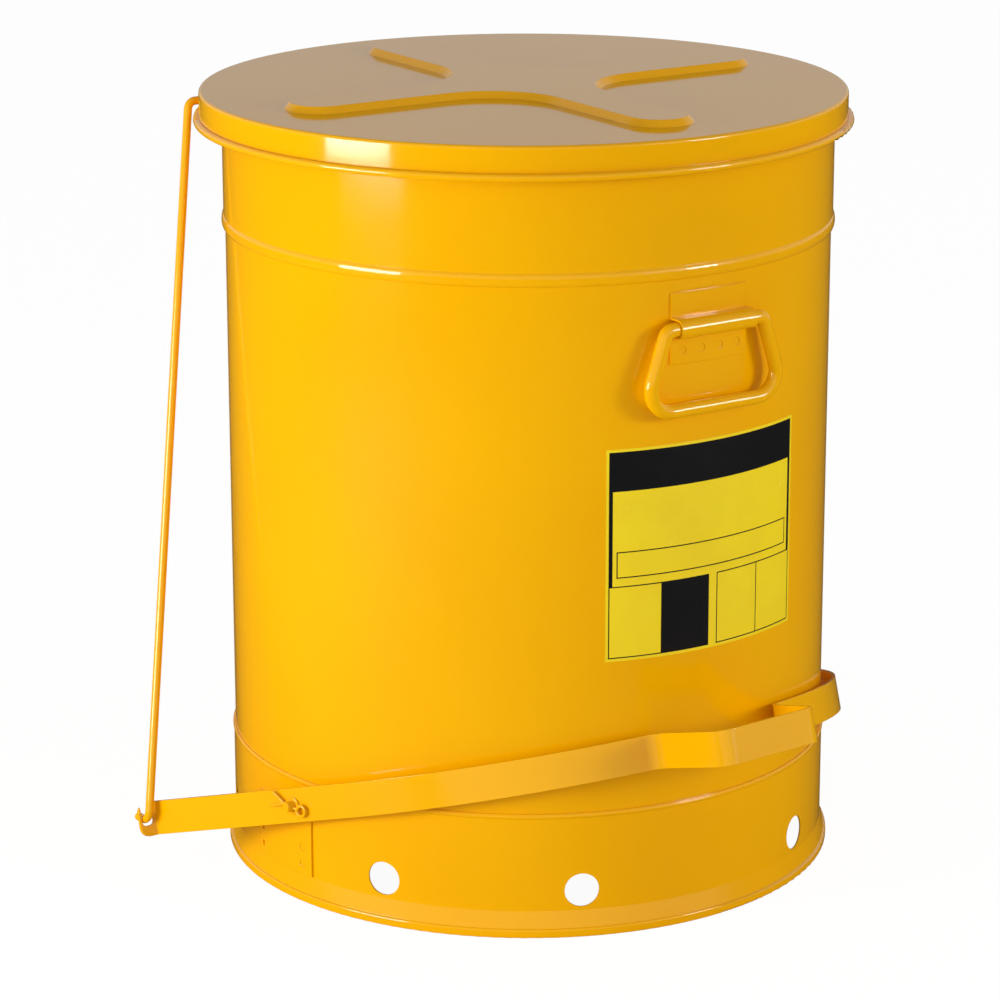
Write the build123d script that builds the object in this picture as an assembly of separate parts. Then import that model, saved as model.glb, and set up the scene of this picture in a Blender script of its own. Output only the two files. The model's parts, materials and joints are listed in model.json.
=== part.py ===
from build123d import *
import math
import os

# Foot-operated, self-closing oily waste can in painted sheet steel, about 80 litres.
# Millimetres, +Z up. The origin is where the can's axis meets the floor.
# The pedal, the label and the front handle face -Y, and the lid's hinge is at +Y.

# Overall sizes
CAN_HEIGHT = 595.0  # floor to the flat of the lid
BODY_R = 230.5  # outside of the body sheet
SHEET = 1.2  # body, base ring and lid sheet
LID_R = BODY_R + 15.0  # outside of the lid's skirt
LID_BACK = 6.0  # how far the lid's middle sits behind the can's axis
GAP = 0.4  # air between pieces that move past each other
FIT = 0.08  # radial play of a hole that turns on a pin

# Body
BAND_Z = CAN_HEIGHT - 103.0  # foot of the wider upper band
BAND_STEP = 1.3  # how far the band stands out from the body
BEAD_H = 10.0  # rounded bead along the band's foot
BEAD_RISE = 1.5  # how far the bead stands out from the band
RIM_ROLL_R = 2.5  # roll along the body's mouth, turned inwards
PAN_Z = 62.0  # underside of the raised bottom pan
PAN_FLANGE = 14.0

# Base ring
RING_TOP = 96.0
RING_BEAD_R = 2.2
RING_R = BODY_R + SHEET
HEM_W = 5.0
HEM_H = 7.0
HEM_R = RING_R + 5.0  # outside of the floor hem
FLARE_Z = 20.0  # where the ring starts to flare
VENT_R = 13.0
VENT_Z = 35.5
VENT_ANGLES = (26.0, 63.5, 116.5, 154.0)  # either side of the front

# Lid
SKIRT_DEPTH = 20.0
CURL_R = 2.9
LID_EDGE_R = 2.5
CROSS_LENGTH = 400.0
CROSS_WIDTH = 44.0
CROSS_RISE = 5.0
CROSS_CORE_R = 55.0  # fillet between two arms of the cross
CROSS_SLOPE = 40.0  # degrees that the cross's sides lean in
CROSS_TURN = -3.0

# Hinge
HINGE_Y = LID_BACK + LID_R + 8.0
HINGE_Z = CAN_HEIGHT - 11.0
HINGE_LENGTH = 120.0
HINGE_PIN_R = 2.5
HINGE_HEAD_H = 1.6
BARREL_R = 4.5
LEAF_T = 1.5
LEAF_RIVET_X = (-40.0, 0.0, 40.0)
RIVET_HEAD_R = 4.0
RIVET_HEAD_H = 1.2
BODY_LEAF_FOOT = 62.0  # below the hinge axis

# Pedal lever
PIVOT_Y = -39.0
PIVOT_Z = 82.0
LEVER_PITCH = 17.0
BAR_T = 3.0
BAR_H = 26.0
HOOP_R = BODY_R + 11.5  # outside of the hoop, in the lever's own plane
HOOP_CENTRE = -30.2  # the hoop's centre from the pivot, positive to the front
ARM_FLARE = 19.0  # degrees that each arm leaves the front-back line
PEDAL_LEFT = 53.0  # outer face of the pedal's left wall
PEDAL_RIGHT = 44.0  # the pedal's right front corner
PEDAL_ROOT_RIGHT = 60.0  # where the right wall meets the hoop
PEDAL_REACH_LEFT = HOOP_R + HOOP_CENTRE + 74.0  # from the pivot to the pedal's front corners
PEDAL_REACH_RIGHT = HOOP_R + HOOP_CENTRE + 63.0
PEDAL_BEND_R = 14.0
ROOT_BEND_R = 13.0
ARM_REACH = 135.2  # from the pivot back to the lifting tab
TAB_WIDTH = 12.4  # beyond the arm's outer face
NOTCH_W = 10.4  # wide enough for the leaning rod
NOTCH_FLOOR = -4.6  # below the middle of the bar; the notch is open at the top
TAB_CORNER_R = 7.5
NOTCH_OFFSET = 0.2  # between the arm's outer face and the notch
RIGHT_TAIL = 16.0  # how far the right arm runs on behind its pivot

# Pivots
PIN_R = 4.0
PIN_HEAD_R = 6.5
PIN_HEAD_H = 2.2
WASHER_R = 6.5
WASHER_T = 1.2
EAR_T = 2.5
EAR_W = 20.0
BRACKET_T = 1.6
BRACKET_W = 70.0
BRACKET_Y = -4.0
BRACKET_FOOT = 20.6
BRACKET_WELD_Y = -29.0
BRACKET_MARK_Z = (29.5, 42.5)
SHELF_Z = 72.0
COTTER_R = 1.2
COTTER_EYE_R = 5.0
COTTER_TAIL = 14.0
COTTER_TILT = 24.0

# Lift rod
ROD_R = 3.175
ROD_TOP_Z = CAN_HEIGHT - 17.5
ROD_ARM = 80.0  # from the hinge axis forward to the rod's top leg
ROD_STANDOFF = 12.6  # outside of the skirt to the middle of the rod, along the radius
ROD_BEND_R = 7.0
ROD_AHEAD = 3.8  # rod's middle in front of the tab's front face
ROD_BEHIND = 9.0  # leg behind the tab's rear face
ROD_LIFT = 5.2  # middle of the rod's lower leg above the notch's floor
CLIP_R = 4.4
CLIP_T = 1.0

# Carrying handles
BAIL_R = 5.25
BAIL_Z = BAND_Z - 34.5
BAIL_TOP_HALF = 43.0
BAIL_FOOT_HALF = 63.0
BAIL_DROP = 60.0
BAIL_TOP_BEND = 7.0
BAIL_FOOT_BEND = 18.0
STRAP_T = 1.5
STRAP_HALF_ANGLE = 8.4
HANDLE_TURN = -1.5  # the front handle sits a little to the left
STRAP_TOP = BAND_Z - 9.5
STRAP_FOOT = BAND_Z - 62.0
WELD_R = 3.0
WELD_DEPTH = 0.4
STRAP_WELDS = (-6.0, -2.0, 2.0, 6.0)
STRAP_WELD_RISE = 10.0  # above the strap's foot

# Blank label
LABEL_T = 0.25
LABEL_HALF_ANGLE = 21.9
LABEL_Z = (CAN_HEIGHT - 384.0, CAN_HEIGHT - 224.0)

ROD_TOP_Y = HINGE_Y - ROD_ARM
BAIL_Y = BODY_R + 1.0 + BAIL_R
STRAP_BORE_R = BAIL_R + GAP


def revolve_profile(face):
    """Turn a face drawn as (radius, height) around the can's axis."""
    return revolve(Plane.XZ * face, Axis.Z)


def profile(points):
    """A closed face in the XZ plane from (radius, height) points."""
    return make_face(Polyline(*points, close=True))


def tube(outer, inner, low, high):
    """An upright tube around the can's axis."""
    ring = Circle(outer) - Circle(inner)
    return Pos(0, 0, low) * extrude(ring, high - low)


def sector(outer, inner, low, high, middle, half_angle):
    """A curved plate: the part of a tube within half_angle of an azimuth measured from the front."""
    reach = 2 * outer
    spread = reach * math.tan(math.radians(half_angle))
    wedge = make_face(Polyline((0, 0), (spread, -reach), (-spread, -reach), close=True))
    prism = Pos(0, 0, low) * extrude(wedge, high - low)
    return tube(outer, inner, low, high) & (Rot(0, 0, middle) * prism)


def cylinder_x(radius, x_low, x_high, y, z):
    """A round bar along X."""
    length = x_high - x_low
    return Pos(x_low + length / 2, y, z) * Rot(0, 90, 0) * Cylinder(radius, length)


def cylinder_y(radius, y_low, y_high, x, z):
    """A round bar along Y."""
    length = y_high - y_low
    return Pos(x, y_low + length / 2, z) * Rot(90, 0, 0) * Cylinder(radius, length)


def mirrored(shape):
    return mirror(shape, Plane.YZ)


def body_shell():
    inner = BODY_R - SHEET
    band = BODY_R + BAND_STEP
    rim_z = CAN_HEIGHT - SHEET - 2 * GAP
    wall = profile([(inner, PAN_Z), (BODY_R, PAN_Z), (BODY_R, BAND_Z), (inner, BAND_Z)])
    step = profile(
        [
            (inner, BAND_Z),
            (BODY_R, BAND_Z),
            (band, BAND_Z + BEAD_H),
            (band, rim_z - RIM_ROLL_R),
            (band - SHEET, rim_z - RIM_ROLL_R),
            (band - SHEET, BAND_Z + BEAD_H),
        ]
    )
    bead = Pos(band - SHEET / 2, BAND_Z + BEAD_H / 2) * Ellipse(BEAD_RISE + SHEET / 2, BEAD_H / 2)
    roll = Pos(band - RIM_ROLL_R, rim_z - RIM_ROLL_R) * Circle(RIM_ROLL_R)
    return revolve_profile(wall + step + bead + roll)


def bottom_pan():
    outer = BODY_R - SHEET
    disc = profile([(0, PAN_Z), (outer, PAN_Z), (outer, PAN_Z + SHEET), (0, PAN_Z + SHEET)])
    top = PAN_Z + PAN_FLANGE
    flange = profile([(outer - SHEET, PAN_Z), (outer, PAN_Z), (outer, top), (outer - SHEET, top)])
    return revolve_profile(disc + flange)


def base_ring():
    inner = BODY_R
    wall = profile([(inner, FLARE_Z), (RING_R, FLARE_Z), (RING_R, RING_TOP), (inner, RING_TOP)])
    flare = profile(
        [
            (inner, FLARE_Z),
            (RING_R, FLARE_Z),
            (HEM_R - 0.8, HEM_H / 2),
            (HEM_R - 0.8 - SHEET, HEM_H / 2),
        ]
    )
    hem_centre = HEM_R - HEM_W / 2
    hem = Pos(hem_centre, HEM_H / 2) * RectangleRounded(HEM_W, HEM_H, 1.6)
    bead = Pos(RING_R + 0.8 - RING_BEAD_R, RING_TOP - RING_BEAD_R) * Circle(RING_BEAD_R)
    clear_of_body = Pos(inner / 2, RING_TOP) * Rectangle(inner, RING_TOP)
    ring = revolve_profile(wall + flare + hem + (bead - clear_of_body))
    for angle in VENT_ANGLES:
        for side in (-1, 1):
            bore = cylinder_y(VENT_R, -2 * RING_R, 0, 0, VENT_Z)
            ring -= Rot(0, 0, side * angle) * bore
    return ring


def cross_outline(grow):
    """The lid's raised cross: two long rounded arms with wide fillets where they meet."""
    width = CROSS_WIDTH + 2 * grow
    length = CROSS_LENGTH + 2 * grow
    arm = SlotOverall(length, width)
    cross = arm + Rot(0, 0, 90) * arm
    corners = [v for v in cross.vertices() if Vector(*v).length < width]
    return fillet(corners, CROSS_CORE_R)


def raised_cross(grow, low, rise):
    outline = Pos(0, 0, low) * Rot(0, 0, CROSS_TURN) * cross_outline(grow)
    return extrude(outline, rise, taper=CROSS_SLOPE)


def lid():
    top = CAN_HEIGHT
    inner_r = LID_R - SHEET
    inner_edge = LID_EDGE_R - SHEET
    skirt_foot = top - SKIRT_DEPTH
    outer_drum = fillet(
        (Pos(0, 0, skirt_foot) * extrude(Circle(LID_R), SKIRT_DEPTH)).edges().group_by(Axis.Z)[-1],
        LID_EDGE_R,
    )
    hollow_height = SKIRT_DEPTH - SHEET
    inner_drum = fillet(
        (Pos(0, 0, skirt_foot) * extrude(Circle(inner_r), hollow_height)).edges().group_by(Axis.Z)[-1],
        inner_edge,
    )
    curl = revolve_profile(Pos(inner_r + CURL_R, skirt_foot - CURL_R + 0.6) * Circle(CURL_R))
    cover = outer_drum - inner_drum + curl
    cover += raised_cross(CROSS_RISE, top - SHEET / 2, CROSS_RISE + SHEET / 2)
    cover -= raised_cross(CROSS_RISE - 2 * SHEET, top - SHEET - 1, CROSS_RISE + 1)
    return to_lid(cover) - cylinder_x(ROD_R + FIT, rod_top_x(), 0, ROD_TOP_Y, ROD_TOP_Z)


def to_lid(shape):
    """From the can's axis to the lid's own middle."""
    return Pos(0, LID_BACK, 0) * shape


def rod_top_x():
    return -math.sqrt((LID_R + ROD_STANDOFF) ** 2 - (ROD_TOP_Y - LID_BACK) ** 2)


def knuckles(odd):
    """Every other fifth of the hinge barrel."""
    share = HINGE_LENGTH / 5
    start = -HINGE_LENGTH / 2
    rolls = Part()
    for index in range(5):
        if index % 2 == odd:
            low = start + index * share + GAP / 2
            rolls += cylinder_x(BARREL_R, low, low + share - GAP, HINGE_Y, HINGE_Z)
    return rolls


def knuckle_space(odd):
    """Room for the other leaf's knuckles."""
    share = HINGE_LENGTH / 5
    start = -HINGE_LENGTH / 2
    room = Part()
    for index in range(5):
        if index % 2 != odd:
            middle = start + (index + 0.5) * share
            box = Box(share + GAP, 2 * BARREL_R + 2 * GAP, 2 * BARREL_R + 2 * GAP)
            room += Pos(middle, HINGE_Y, HINGE_Z) * box
    return room


def hinge_leaf_lid():
    angle = math.degrees(math.asin(HINGE_LENGTH / 2 / LID_R))
    plate = to_lid(sector(LID_R + LEAF_T, LID_R, HINGE_Z - 7, HINGE_Z + 6, 180, angle))
    arm_start = LID_BACK + math.sqrt(LID_R**2 - (HINGE_LENGTH / 2) ** 2)
    arm_length = HINGE_Y - arm_start
    arm = Pos(0, arm_start + arm_length / 2, HINGE_Z + BARREL_R - LEAF_T / 2)
    arm = arm * Box(HINGE_LENGTH, arm_length, LEAF_T)
    arm -= to_lid(tube(LID_R, LID_R - 20, HINGE_Z - BARREL_R, HINGE_Z + 2 * BARREL_R))
    leaf = plate + (arm - knuckle_space(0)) + knuckles(0)
    return leaf - cylinder_x(HINGE_PIN_R + FIT, -HINGE_LENGTH, HINGE_LENGTH, HINGE_Y, HINGE_Z)


def hinge_leaf_body():
    back = BODY_R + BAND_STEP
    angle = math.degrees(math.asin(HINGE_LENGTH / 2 / back))
    foot = HINGE_Z - BODY_LEAF_FOOT
    bend_z = HINGE_Z - 30.0
    plate = sector(back + LEAF_T, back, foot, bend_z, 180, angle)
    stand_y = HINGE_Y + BARREL_R - LEAF_T / 2
    shelf_length = stand_y - back + 8
    shelf = Pos(0, stand_y - shelf_length / 2, bend_z - LEAF_T / 2)
    shelf = shelf * Box(HINGE_LENGTH, shelf_length + LEAF_T, LEAF_T)
    shelf -= tube(back, back - 30, foot, HINGE_Z)
    upright_height = HINGE_Z - bend_z + LEAF_T
    upright = Pos(0, stand_y, bend_z - LEAF_T + upright_height / 2)
    upright = upright * Box(HINGE_LENGTH, LEAF_T, upright_height)
    leaf = plate + shelf + (upright - knuckle_space(1)) + knuckles(1)
    return leaf - cylinder_x(HINGE_PIN_R, -HINGE_LENGTH, HINGE_LENGTH, HINGE_Y, HINGE_Z)


def hinge_pin():
    half = HINGE_LENGTH / 2 + GAP
    pin = cylinder_x(HINGE_PIN_R, -half, half, HINGE_Y, HINGE_Z)
    head = cylinder_x(HINGE_PIN_R + 1.2, half, half + HINGE_HEAD_H, HINGE_Y, HINGE_Z)
    return pin + head + mirrored(head)


def rivets(radius, z):
    """Rivet heads sitting on a curved plate at the back of the can."""
    heads = Part()
    for x in LEAF_RIVET_X:
        turn = math.degrees(math.atan2(x, math.sqrt(radius**2 - x**2)))
        head = Cylinder(RIVET_HEAD_R, RIVET_HEAD_H + 1)
        head = fillet(head.edges().group_by(Axis.Z)[-1], RIVET_HEAD_H * 0.6)
        seat = Pos(0, radius + (RIVET_HEAD_H - 1) / 2, z) * Rot(-90, 0, 0) * head
        heads += Rot(0, 0, -turn) * seat
    return heads - tube(radius, radius - 5, z - 10, z + 10)


def arm_start():
    """Where the right arm's outer face leaves the hoop: distance from the middle, and y."""
    angle = math.radians(90 - ARM_FLARE)
    return HOOP_R * math.sin(angle), -HOOP_CENTRE - HOOP_R * math.cos(angle)


def arm_outer(back):
    """Distance of an arm's outer face from the middle, at a place behind the pivot."""
    start_x, start_y = arm_start()
    return start_x + (back - start_y) * math.tan(math.radians(ARM_FLARE))


def arm_plan(back):
    """Plan of the right arm: a straight, flared run from the hoop to a place behind the pivot."""
    start_x, start_y = arm_start()
    across = BAR_T / math.cos(math.radians(ARM_FLARE))
    end_x = arm_outer(back)
    run = Polyline(
        (start_x - across, start_y), (start_x, start_y), (end_x, back), (end_x - across, back), close=True
    )
    return make_face(run)


def front_plan():
    """Plan of the hoop and the pedal: one band of the bar's thickness, bent at its roots and corners."""
    pedal = Polyline(
        (0, -HOOP_CENTRE),
        (-PEDAL_LEFT, hoop_y(PEDAL_LEFT)),
        (-PEDAL_LEFT, -PEDAL_REACH_LEFT),
        (PEDAL_RIGHT, -PEDAL_REACH_RIGHT),
        (PEDAL_ROOT_RIGHT, hoop_y(PEDAL_ROOT_RIGHT)),
        close=True,
    )
    outline = Pos(0, -HOOP_CENTRE) * Circle(HOOP_R) + make_face(pedal)
    outline = fillet(outline.vertices().sort_by(Axis.Y)[:2], PEDAL_BEND_R)
    outline = fillet(outline.vertices().sort_by(Axis.Y)[-2:], ROOT_BEND_R)
    start_x, start_y = arm_start()
    far_x = 2 * start_x
    far_y = -HOOP_CENTRE + 2 * (start_y + HOOP_CENTRE)
    ahead = Polyline(
        (0, -HOOP_CENTRE),
        (far_x, far_y),
        (far_x, -2 * HOOP_R),
        (-far_x, -2 * HOOP_R),
        (-far_x, far_y),
        close=True,
    )
    return (outline - offset(outline, -BAR_T)) & make_face(ahead)


def lever_plan():
    """The bent bar seen square to its plane, with the pivot axis on X and the front at -Y."""
    return front_plan() + arm_plan(RIGHT_TAIL) + mirror(arm_plan(ARM_REACH), Plane.YZ)


def hoop_y(side):
    """Where the hoop's outer face passes a place beside the middle."""
    return -HOOP_CENTRE - math.sqrt(HOOP_R**2 - side**2)


def lifting_tab():
    """The left arm's rear end, turned outwards and notched for the rod."""
    width = TAB_WIDTH + BAR_T
    middle = -arm_outer(ARM_REACH) + BAR_T - width / 2
    tab = Pos(middle, ARM_REACH - BAR_T / 2) * Rectangle(width, BAR_T)
    tab = extrude(tab, BAR_H / 2, both=True)
    tab = fillet(tab.edges().filter_by(Axis.Y).group_by(Axis.X)[0], TAB_CORNER_R)
    height = BAR_H / 2 - NOTCH_FLOOR
    notch_x = -arm_outer(ARM_REACH) - NOTCH_OFFSET - NOTCH_W / 2
    notch = Pos(notch_x, ARM_REACH - BAR_T / 2, NOTCH_FLOOR + height / 2) * Box(NOTCH_W, 2 * BAR_T, height)
    notch = fillet(notch.edges().filter_by(Axis.Y).group_by(Axis.Z)[0], ROD_R + GAP)
    return tab - notch


def lever_place():
    """From the lever's own plane to the can."""
    return Pos(0, PIVOT_Y, PIVOT_Z) * Rot(-LEVER_PITCH, 0, 0)


def pedal_lever():
    bar = extrude(lever_plan(), BAR_H / 2, both=True) + lifting_tab()
    reach = 2 * HOOP_R
    bar -= cylinder_x(PIN_R, -reach, reach, 0, 0)
    return lever_place() * bar


def off_arm(distance):
    """Place on the left pivot's axis, square to the arm, at a distance outside its face."""
    flare = math.radians(ARM_FLARE)
    return Pos(-arm_outer(0) - distance / math.cos(flare), 0, 0) * Rot(0, 0, ARM_FLARE)


def pivot_washer():
    """Left washer, flat against the flared arm."""
    washer = off_arm(WASHER_T / 2) * Rot(0, 90, 0) * Cylinder(WASHER_R, WASHER_T)
    return lever_place() * (washer - cylinder_x(PIN_R, -2 * HOOP_R, 0, 0, 0))


def ear_outer_x():
    """Outer face of the bracket's ear, clear of the flared arm's inner face."""
    flare = math.radians(ARM_FLARE)
    ear_reach = math.hypot(EAR_W / 2, PIVOT_Z - SHELF_Z + EAR_T)
    lost = ear_reach * math.tan(flare) + BAR_T / math.cos(flare)
    return arm_outer(0) - lost - GAP


def pivot_bracket():
    """Left bracket: a curved plate on the base ring, a shelf and the ear that holds the pin."""
    angle = -90 - math.degrees(math.asin(BRACKET_Y / RING_R))
    half = math.degrees(math.asin(BRACKET_W / 2 / RING_R))
    plate = sector(RING_R + BRACKET_T, RING_R, BRACKET_FOOT, SHELF_Z, angle, half)
    outer = ear_outer_x()
    shelf_x = RING_R - 12
    shelf = Pos(-(outer + shelf_x) / 2, PIVOT_Y, SHELF_Z - EAR_T / 2)
    shelf = shelf * Box(outer - shelf_x, EAR_W, EAR_T)
    shelf -= tube(RING_R, RING_R - 40, BRACKET_FOOT, RING_TOP)
    ear_height = PIVOT_Z - SHELF_Z + EAR_T
    ear = Pos(EAR_T / 2 - outer, PIVOT_Y, SHELF_Z - EAR_T + ear_height / 2) * Box(EAR_T, EAR_W, ear_height)
    ear += cylinder_x(EAR_W / 2, -outer, EAR_T - outer, PIVOT_Y, PIVOT_Z)
    bracket = plate + shelf + ear
    bracket -= cylinder_x(PIN_R + FIT, -2 * RING_R, 0, PIVOT_Y, PIVOT_Z)
    weld_angle = -90 - math.degrees(math.asin(BRACKET_WELD_Y / RING_R))
    for z in BRACKET_MARK_Z:
        notch = Pos(-RING_R, BRACKET_Y + BRACKET_W / 2 - 6, z) * Box(40, 2.5, 4)
        bracket -= notch & tube(RING_R + 10, RING_R, z - 5, z + 5)
        bracket -= welds(RING_R + BRACKET_T, z, [weld_angle])
    return bracket


def cotter_place():
    """Middle of the left pivot's split pin, lying along the arm just outside the washer."""
    return off_arm(WASHER_T + COTTER_R + 0.3) * Rot(COTTER_TILT, 0, 0)


def pivot_pin():
    """Left clevis pin, fast in the arm, turning in the ear, its head next to the base ring."""
    head_x = GAP - ear_outer_x() + EAR_T
    end_x = cotter_place().position.X - COTTER_R - PIN_R * math.tan(math.radians(ARM_FLARE)) - 1.5
    pin = cylinder_x(PIN_R, end_x, head_x, 0, 0)
    pin = chamfer(pin.edges().filter_by(GeomType.CIRCLE).group_by(Axis.X)[0], 0.8)
    pin += cylinder_x(PIN_HEAD_R, head_x, head_x + PIN_HEAD_H, 0, 0)
    return lever_place() * (pin - cotter_place() * cylinder_y(COTTER_R, -2 * PIN_R, 2 * PIN_R, 0, 0))


def pivot_cotter():
    """Split pin across the left clevis pin: eye in front, spread tails behind."""
    eye_y = -PIN_R - COTTER_EYE_R - 2.0
    eye = Pos(0, eye_y, 0) * Rot(0, 90, 0) * Torus(COTTER_EYE_R - COTTER_R, COTTER_R)
    shank = cylinder_y(COTTER_R, eye_y + COTTER_EYE_R - COTTER_R, PIN_R + 1.5, 0, 0)
    split = eye + shank
    for side in (-1, 1):
        tail = cylinder_y(COTTER_R * 0.8, 0, COTTER_TAIL, 0, 0)
        split += Pos(0, PIN_R + 1.0, 0) * Rot(side * 24, 0, 0) * tail
    return lever_place() * cotter_place() * split


def rod_corners():
    """Middle of the lift rod: inside the skirt, top bend, bottom bend, behind the tab."""
    leg_x = GAP + ROD_R - arm_outer(ARM_REACH) - NOTCH_OFFSET - NOTCH_W
    seat = (lever_place() * Pos(leg_x, ARM_REACH, NOTCH_FLOOR + ROD_LIFT)).position
    clip_x = -math.sqrt((LID_R - SHEET) ** 2 - (ROD_TOP_Y - LID_BACK + CLIP_R + 2 * GAP) ** 2)
    inside = (clip_x + CLIP_T + 0.8, ROD_TOP_Y, ROD_TOP_Z)
    top = (rod_top_x(), ROD_TOP_Y, ROD_TOP_Z)
    bottom = (seat.X, seat.Y - BAR_T - ROD_AHEAD, seat.Z)
    behind = (seat.X, seat.Y + ROD_BEHIND, seat.Z)
    return inside, top, bottom, behind


def lift_rod():
    corners = rod_corners()
    path = FilletPolyline(*corners, radius=ROD_BEND_R)
    section = Plane(origin=path @ 0, z_dir=path % 0) * Circle(ROD_R)
    rod = sweep(section, path=path)
    return chamfer(rod.edges().group_by(Axis.Y)[-1], 0.8)


def rod_clip():
    """Push-on clip that keeps the rod's top leg in the skirt."""
    x, y, z = rod_corners()[0]
    low = x - 0.8 - CLIP_T
    return cylinder_x(CLIP_R, low, low + CLIP_T, y, z) - cylinder_x(ROD_R, low - 1, low + CLIP_T + 1, y, z)


def bail():
    """Carrying handle: a closed loop of round bar hanging from its straight top."""
    foot = BAIL_Z - BAIL_DROP
    corners = [
        (0, -BAIL_Y, BAIL_Z),
        (BAIL_TOP_HALF, -BAIL_Y, BAIL_Z),
        (BAIL_FOOT_HALF, -BAIL_Y, foot),
        (0, -BAIL_Y, foot),
    ]
    half_path = FilletPolyline(*corners, radius=[BAIL_TOP_BEND, BAIL_FOOT_BEND])
    half = sweep(Plane.YZ.offset(0) * Pos(-BAIL_Y, BAIL_Z) * Circle(BAIL_R), path=half_path)
    return half + mirrored(half)


def handle_strap():
    """One plate folded over the bail's top bar and spot-welded to the body."""
    flat = sector(BODY_R + STRAP_T, BODY_R, STRAP_FOOT, STRAP_TOP, 0, STRAP_HALF_ANGLE)
    width = 2 * BODY_R * math.sin(math.radians(STRAP_HALF_ANGLE))
    outer_r = STRAP_BORE_R + STRAP_T
    reach = BAIL_Y - BODY_R + 10
    outer = Circle(outer_r) + Pos(reach / 2, 0) * Rectangle(reach, 2 * outer_r)
    inner = Circle(STRAP_BORE_R) + Pos(reach / 2, 0) * Rectangle(reach, 2 * STRAP_BORE_R)
    place = Plane.YZ * Pos(-BAIL_Y, BAIL_Z)
    hump = extrude(place * outer, width / 2, both=True)
    bore = extrude(place * inner, width, both=True)
    strap = flat + hump - bore - tube(BODY_R, BODY_R - 40, STRAP_FOOT - 20, STRAP_TOP + 20)
    return strap - welds(BODY_R + STRAP_T, STRAP_FOOT + STRAP_WELD_RISE, STRAP_WELDS)


def welds(radius, z, angles):
    """Shallow round spot-weld marks on a curved plate, at angles from the front."""
    marks = Part()
    for angle in angles:
        mark = cylinder_y(WELD_R, -radius - 5, WELD_DEPTH - radius, 0, z)
        marks += Rot(0, 0, angle) * mark
    return marks


def label():
    """Thin blank label on the front of the body."""
    low, high = LABEL_Z
    return sector(BODY_R + LABEL_T, BODY_R, low, high, 0, LABEL_HALF_ANGLE)


def to_back(shape):
    return Rot(0, 0, 180) * shape


def nodes():
    return {
        "body_shell": body_shell(),
        "bottom_pan": bottom_pan(),
        "base_ring": base_ring(),
        "lid_cover": lid(),
        "hinge_leaf_lid": hinge_leaf_lid(),
        "hinge_leaf_body": hinge_leaf_body(),
        "hinge_pin": hinge_pin(),
        "hinge_rivets_lid": to_lid(rivets(LID_R + LEAF_T, HINGE_Z - 2)),
        "hinge_rivets_body": rivets(BODY_R + BAND_STEP + LEAF_T, HINGE_Z - BODY_LEAF_FOOT + 12),
        "pedal_lever": pedal_lever(),
        "pivot_bracket_left": pivot_bracket(),
        "pivot_bracket_right": mirrored(pivot_bracket()),
        "pivot_pin_left": pivot_pin(),
        "pivot_pin_right": mirrored(pivot_pin()),
        "pivot_washer_left": pivot_washer(),
        "pivot_washer_right": mirrored(pivot_washer()),
        "pivot_cotter_left": pivot_cotter(),
        "pivot_cotter_right": mirrored(pivot_cotter()),
        "lift_rod": lift_rod(),
        "rod_top_clip": rod_clip(),
        "handle_front": Rot(0, 0, HANDLE_TURN) * bail(),
        "handle_rear": to_back(bail()),
        "handle_strap_front": Rot(0, 0, HANDLE_TURN) * handle_strap(),
        "handle_strap_rear": to_back(handle_strap()),
        "blank_label": label(),
    }


os.makedirs("parts", exist_ok=True)
for name, solid in nodes().items():
    export_step(Part() + solid, os.path.join("parts", name + ".step"))
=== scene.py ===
import json
import math

import bpy
from mathutils import Matrix, Vector


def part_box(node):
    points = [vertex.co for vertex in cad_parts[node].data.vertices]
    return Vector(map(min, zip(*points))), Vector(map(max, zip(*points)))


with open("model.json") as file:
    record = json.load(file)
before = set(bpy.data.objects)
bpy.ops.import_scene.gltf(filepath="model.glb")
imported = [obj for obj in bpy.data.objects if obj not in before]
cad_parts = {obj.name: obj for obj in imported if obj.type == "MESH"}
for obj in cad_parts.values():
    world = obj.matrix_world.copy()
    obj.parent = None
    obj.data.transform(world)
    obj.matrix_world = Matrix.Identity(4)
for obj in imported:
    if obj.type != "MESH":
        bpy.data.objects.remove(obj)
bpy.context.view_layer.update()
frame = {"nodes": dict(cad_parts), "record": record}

# Looks of a foot-operated oily waste can. Metres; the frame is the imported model's own.
scene = bpy.context.scene

# Where the floor and the label are, from the frame
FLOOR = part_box("base_ring")[0].z
LABEL_LOW, LABEL_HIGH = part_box("blank_label")
LABEL_R = -LABEL_LOW.y

# Camera
VIEW_AZIMUTH = 36.0  # degrees to the left of the front
VIEW_DISTANCE = 2.8944
VIEW_HEIGHT = 1.1021
VIEW_YAW = -0.429  # degrees, from looking straight at the can's axis
VIEW_PITCH = 16.046  # degrees below the horizon
VIEW_ROLL = -0.079
LENS_MM = 139.2
SENSOR_MM = 36.0

# Light
KEY_RADIANCE = 17.0
FILL_RADIANCE = 0.9
SKY_AMBIENT = 0.66
SKY_IN_REFLECTIONS = 0.58
SKY_WHITE_TO = 0.45  # sine of the elevation up to which the surround is white
SKY_DIM_FROM = 0.65
SKY_OVERHEAD = 0.38

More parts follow.
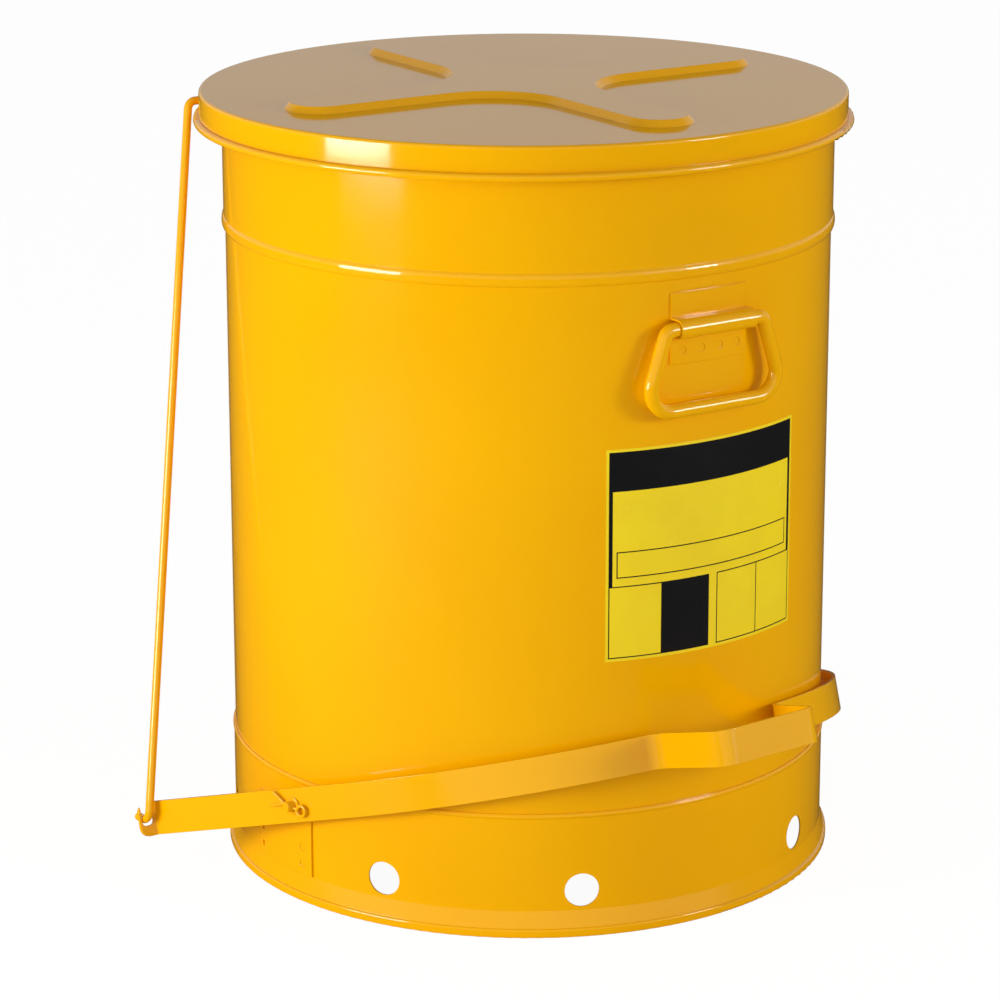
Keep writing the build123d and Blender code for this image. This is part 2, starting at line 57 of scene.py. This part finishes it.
# Colours, linear
YELLOW = (0.93, 0.455, 0.0, 1.0)
YELLOW_DEEP = (0.90, 0.43, 0.0, 1.0)
# pale yellow laid on sharp edges as a painted highlight
YELLOW_EDGE_HIGHLIGHT = (0.97, 0.54, 0.01, 1.0)
LABEL_YELLOW = (0.96, 0.72, 0.01, 1.0)
LABEL_YELLOW_DEEP = (0.93, 0.68, 0.01, 1.0)
LABEL_BLACK = (0.006, 0.006, 0.007, 1.0)
ZINC = (0.56, 0.57, 0.58, 1.0)
ZINC_DARK = (0.40, 0.41, 0.42, 1.0)
FLOOR_COLOUR = (0.86, 0.86, 0.86, 1.0)
FLOOR_REFLECTED = (0.06, 0.06, 0.06, 1.0)  # as the gloss paint mirrors it
FLOOR_GLOW = 1.04
FLOOR_GLOW_SHARE = 0.92  # the rest is lit floor, which keeps the shadow
FLOOR_REACH = 20.0


class Nodes:
    """Short calls for building one material's node tree."""

    def __init__(self, name):
        self.material = bpy.data.materials.new(name)
        self.material.use_nodes = True
        self.tree = self.material.node_tree
        self.shader = self.tree.nodes["Principled BSDF"]
        self.output = self.tree.nodes["Material Output"]

    def add(self, kind, **settings):
        node = self.tree.nodes.new(kind)
        for key, value in settings.items():
            setattr(node, key, value)
        return node

    def join(self, source, target):
        self.tree.links.new(source, target)

    def place(self):
        """Object coordinates in metres, which ride with the piece."""
        return self.add("ShaderNodeTexCoord").outputs["Object"]

    def noise(self, scale, detail=2.0):
        node = self.add("ShaderNodeTexNoise")
        node.inputs["Scale"].default_value = scale
        node.inputs["Detail"].default_value = detail
        self.join(self.place(), node.inputs["Vector"])
        return node.outputs["Fac"]

    def ramp(self, fac, low, high, low_at=0.35, high_at=0.65):
        node = self.add("ShaderNodeValToRGB")
        node.color_ramp.elements[0].position = low_at
        node.color_ramp.elements[0].color = low
        node.color_ramp.elements[1].position = high_at
        node.color_ramp.elements[1].color = high
        self.join(fac, node.inputs["Fac"])
        return node.outputs["Color"]

    def spread(self, fac, low, high):
        """Fac from 0 to 1, mapped from low to high."""
        node = self.add("ShaderNodeMapRange")
        node.inputs["To Min"].default_value = low
        node.inputs["To Max"].default_value = high
        self.join(fac, node.inputs["Value"])
        return node.outputs["Result"]

    def math(self, operation, a, b=None):
        node = self.add("ShaderNodeMath", operation=operation)
        for socket, value in zip(node.inputs, (a, b)):
            if value is None:
                continue
            if isinstance(value, (int, float)):
                socket.default_value = value
            else:
                self.join(value, socket)
        return node.outputs[0]

    def mix(self, fac, a, b):
        node = self.add("ShaderNodeMix", data_type="RGBA")
        self.join(fac, node.inputs["Factor"])
        for socket, value in ((node.inputs["A"], a), (node.inputs["B"], b)):
            if isinstance(value, tuple):
                socket.default_value = value
            else:
                self.join(value, socket)
        return node.outputs["Result"]

    def set(self, name, value):
        socket = self.shader.inputs[name]
        if hasattr(value, "is_linked"):
            self.join(value, socket)
        else:
            socket.default_value = value


def edges(nodes, radius):
    """Where the surface turns sharply: 0 on a flat stretch, rising to 1 on an edge, and the eased normal."""
    bevel = nodes.add("ShaderNodeBevel", samples=4)
    bevel.inputs["Radius"].default_value = radius
    geometry = nodes.add("ShaderNodeNewGeometry")
    dot = nodes.add("ShaderNodeVectorMath", operation="DOT_PRODUCT")
    nodes.join(bevel.outputs["Normal"], dot.inputs[0])
    nodes.join(geometry.outputs["Normal"], dot.inputs[1])
    away = nodes.math("SUBTRACT", 1.0, dot.outputs["Value"])
    edge_highlight = nodes.math("MULTIPLY", away, 6.0)
    edge_highlight.node.use_clamp = True
    return edge_highlight, bevel.outputs["Normal"]


def bump(nodes, height, distance, strength, normal=None):
    node = nodes.add("ShaderNodeBump")
    node.inputs["Distance"].default_value = distance
    node.inputs["Strength"].default_value = strength
    nodes.join(height, node.inputs["Height"])
    if normal is not None:
        nodes.join(normal, node.inputs["Normal"])
    nodes.set("Normal", node.outputs["Normal"])


def paint():
    """Gloss baked yellow: slight drift in tone, orange peel, a painted pale highlight along the edges and a
    few duller patches.
    """
    nodes = Nodes("yellow_paint")
    shade = nodes.ramp(nodes.noise(5.0), YELLOW_DEEP, YELLOW)
    edge_highlight, eased = edges(nodes, 0.0007)
    # sharp edges are lightened towards the pale yellow, in patches: a painted highlight
    painted_edge_highlight = nodes.math("MULTIPLY", edge_highlight, nodes.spread(nodes.noise(60.0), 0.1, 0.5))
    nodes.set("Base Color", nodes.mix(painted_edge_highlight, shade, YELLOW_EDGE_HIGHLIGHT))
    nodes.set("Roughness", nodes.spread(nodes.noise(18.0, 4.0), 0.06, 0.13))
    nodes.set("Specular IOR Level", 0.5)
    bump(nodes, nodes.noise(420.0, 1.0), 0.0002, 0.05, eased)
    return nodes.material


def zinc():
    """Zinc plate: pale metal with a cloudy, slightly uneven gloss."""
    nodes = Nodes("zinc")
    nodes.set("Base Color", nodes.ramp(nodes.noise(260.0, 4.0), ZINC_DARK, ZINC))
    nodes.set("Metallic", 1.0)
    nodes.set("Roughness", nodes.spread(nodes.noise(120.0), 0.28, 0.48))
    bump(nodes, nodes.noise(900.0), 0.0001, 0.15)
    return nodes.material


def inside(nodes, value, low, high):
    """1 where value lies between low and high, else 0."""
    above = nodes.math("GREATER_THAN", value, low)
    below = nodes.math("LESS_THAN", value, high)
    return nodes.math("MULTIPLY", above, below)


def rectangle(nodes, across, up, box):
    left, bottom, right, top = box
    return nodes.math("MULTIPLY", inside(nodes, across, left, right), inside(nodes, up, bottom, top))


def outline(nodes, across, up, box, line):
    left, bottom, right, top = box
    inner = rectangle(nodes, across, up, (left + line, bottom + line, right - line, top - line))
    return nodes.math("SUBTRACT", rectangle(nodes, across, up, box), inner)


def label():
    """Blank printed label: a black heading band, black side bars and empty panels on yellow film."""
    nodes = Nodes("label")
    split = nodes.add("ShaderNodeSeparateXYZ")
    nodes.join(nodes.place(), split.inputs[0])
    toward = nodes.math("MULTIPLY", split.outputs["Y"], -1.0)
    angle = nodes.math("ARCTAN2", split.outputs["X"], toward)
    half = math.asin(LABEL_HIGH.x / LABEL_R)
    width = 2.0 * half * LABEL_R
    height = LABEL_HIGH.z - LABEL_LOW.z
    # across and up run from the label's lower left corner, in metres
    across = nodes.math("ADD", nodes.math("MULTIPLY", angle, LABEL_R), width / 2)
    up = nodes.math("SUBTRACT", split.outputs["Z"], LABEL_LOW.z)

    margin = 0.0022
    bar = 0.0030
    band = 0.0295
    panel_high = 0.057
    line = 0.0009
    strip_low, strip_high = 0.063, 0.083  # empty strip above the lower panels
    top = height - margin
    left, right = margin, width - margin
    pair_end = width * 0.48  # the lower panels come in two pairs
    pair_start = width * 0.52
    black = [
        rectangle(nodes, across, up, (left, top - band, right, top)),
        rectangle(nodes, across, up, (left, panel_high, left + bar, top)),
        rectangle(nodes, across, up, (right - bar, panel_high, right, top)),
        rectangle(nodes, across, up, ((left + pair_end) / 2, margin, pair_end, panel_high)),
        outline(nodes, across, up, (left, margin, pair_end, panel_high), line),
        outline(nodes, across, up, (pair_start, margin, right, panel_high), line),
        outline(nodes, across, up, (pair_start, margin, (pair_start + right) / 2, panel_high), line),
        outline(nodes, across, up, (left + 2 * bar, strip_low, right - 2 * bar, strip_high), line),
    ]
    mask = black[0]
    for shape in black[1:]:
        mask = nodes.math("MAXIMUM", mask, shape)
    film = nodes.ramp(nodes.noise(30.0), LABEL_YELLOW, LABEL_YELLOW_DEEP)
    nodes.set("Base Color", nodes.mix(mask, film, LABEL_BLACK))
    nodes.set("Roughness", nodes.spread(nodes.noise(90.0), 0.20, 0.30))
    bump(nodes, nodes.noise(300.0), 0.0001, 0.04)
    return nodes.material


def dress():
    """Every CAD node takes the material of its own slot."""
    finishes = {"yellow_paint": paint(), "zinc": zinc(), "label": label()}
    slots = {part["node"]: part["material_slot"] for part in frame["record"]["subparts"]}
    for name, piece in frame["nodes"].items():
        piece.material_slots[0].link = "OBJECT"
        piece.material_slots[0].material = finishes[slots[name]]


def softbox(name, azimuth, distance, low, high, width, radiance):
    """An upright light box, as bright as radiance. Azimuth is measured from the front, positive to +X."""
    height = high - low
    lamp = bpy.data.lights.new(name, "AREA")
    lamp.shape = "RECTANGLE"
    lamp.size = width
    lamp.size_y = height
    lamp.energy = radiance * math.pi * width * height
    turn = math.radians(azimuth)
    place = Vector((distance * math.sin(turn), -distance * math.cos(turn), (low + high) / 2))
    piece = bpy.data.objects.new(name, lamp)
    aim = Vector((-place.x, -place.y, 0.0)).to_track_quat("-Z", "Y")
    piece.matrix_world = Matrix.Translation(place) @ aim.to_matrix().to_4x4()
    scene.collection.objects.link(piece)


def studio():
    # name, azimuth, distance, low, high, width, radiance
    softbox("key_left", -92.0, 1.9, 0.25, 0.80, 0.80, KEY_RADIANCE)
    softbox("key_right", 28.0, 2.6, 0.70, 1.25, 0.62, KEY_RADIANCE)
    softbox("fill_front", 25.0, 3.4, 0.7, 2.2, 2.4, FILL_RADIANCE)
    sky()


def sky():
    """A surround that is white to the camera, softer as light and in reflections, and dimmer overhead."""
    world = bpy.data.worlds.new("studio")
    scene.world = world
    world.use_nodes = True
    tree = world.node_tree
    place = tree.nodes.new("ShaderNodeTexCoord")
    split = tree.nodes.new("ShaderNodeSeparateXYZ")
    tree.links.new(place.outputs["Generated"], split.inputs[0])
    fall = tree.nodes.new("ShaderNodeMapRange")
    fall.inputs["From Min"].default_value = SKY_WHITE_TO
    fall.inputs["From Max"].default_value = SKY_DIM_FROM
    fall.inputs["To Min"].default_value = 1.0
    fall.inputs["To Max"].default_value = SKY_OVERHEAD
    tree.links.new(split.outputs["Z"], fall.inputs["Value"])
    path = tree.nodes.new("ShaderNodeLightPath")
    seen = tree.nodes.new("ShaderNodeMapRange")
    seen.inputs["To Min"].default_value = SKY_AMBIENT
    seen.inputs["To Max"].default_value = SKY_IN_REFLECTIONS
    tree.links.new(path.outputs["Is Glossy Ray"], seen.inputs["Value"])
    level = tree.nodes.new("ShaderNodeMath")
    level.operation = "MULTIPLY"
    tree.links.new(fall.outputs["Result"], level.inputs[0])
    tree.links.new(seen.outputs["Result"], level.inputs[1])
    shown = tree.nodes.new("ShaderNodeMath")
    shown.operation = "MAXIMUM"
    tree.links.new(level.outputs[0], shown.inputs[0])
    tree.links.new(path.outputs["Is Camera Ray"], shown.inputs[1])
    tree.links.new(shown.outputs[0], tree.nodes["Background"].inputs["Strength"])
    tree.nodes["Background"].inputs["Color"].default_value = (1.0, 1.0, 1.0, 1.0)


def floor():
    """A plain pale floor: white to the camera apart from the can's own soft shadow."""
    mesh = bpy.data.meshes.new("floor")
    reach = FLOOR_REACH
    corners = [(x, y, FLOOR) for x, y in ((-reach, -reach), (reach, -reach), (reach, reach), (-reach, reach))]
    mesh.from_pydata(corners, [], [(0, 1, 2, 3)])
    piece = bpy.data.objects.new("floor", mesh)
    scene.collection.objects.link(piece)
    nodes = Nodes("floor")
    path = nodes.add("ShaderNodeLightPath")
    nodes.set("Base Color", nodes.mix(path.outputs["Is Glossy Ray"], FLOOR_COLOUR, FLOOR_REFLECTED))
    nodes.set("Roughness", 0.9)
    nodes.set("Specular IOR Level", 0.1)
    glow = nodes.add("ShaderNodeEmission")
    glow.inputs["Strength"].default_value = FLOOR_GLOW
    blend = nodes.add("ShaderNodeMixShader")
    nodes.join(nodes.spread(path.outputs["Is Camera Ray"], 0.0, FLOOR_GLOW_SHARE), blend.inputs["Fac"])
    nodes.join(nodes.shader.outputs["BSDF"], blend.inputs[1])
    nodes.join(glow.outputs["Emission"], blend.inputs[2])
    nodes.join(blend.outputs["Shader"], nodes.output.inputs["Surface"])
    mesh.materials.append(nodes.material)


def camera():
    """The viewpoint, given by its distance, height and three small angles."""
    lens = bpy.data.cameras.new("camera")
    lens.lens = LENS_MM
    lens.sensor_width = SENSOR_MM
    piece = bpy.data.objects.new("camera", lens)
    scene.collection.objects.link(piece)
    round_can = math.radians(VIEW_AZIMUTH)
    place = Vector((-VIEW_DISTANCE * math.sin(round_can), -VIEW_DISTANCE * math.cos(round_can), VIEW_HEIGHT))
    heading = math.radians(VIEW_AZIMUTH + VIEW_YAW)
    pitch = math.radians(VIEW_PITCH)
    level = math.cos(pitch)
    forward = Vector((math.sin(heading) * level, math.cos(heading) * level, -math.sin(pitch)))
    right = forward.cross(Vector((0.0, 0.0, 1.0))).normalized()
    up = right.cross(forward)
    roll = math.radians(VIEW_ROLL)
    right, up = (
        math.cos(roll) * right + math.sin(roll) * up,
        math.cos(roll) * up - math.sin(roll) * right,
    )
    turn = Matrix((right, up, -forward)).transposed()
    piece.matrix_world = Matrix.Translation(place) @ turn.to_4x4()
    scene.camera = piece


dress()
studio()
floor()
camera()
scene.view_settings.view_transform = "Standard"
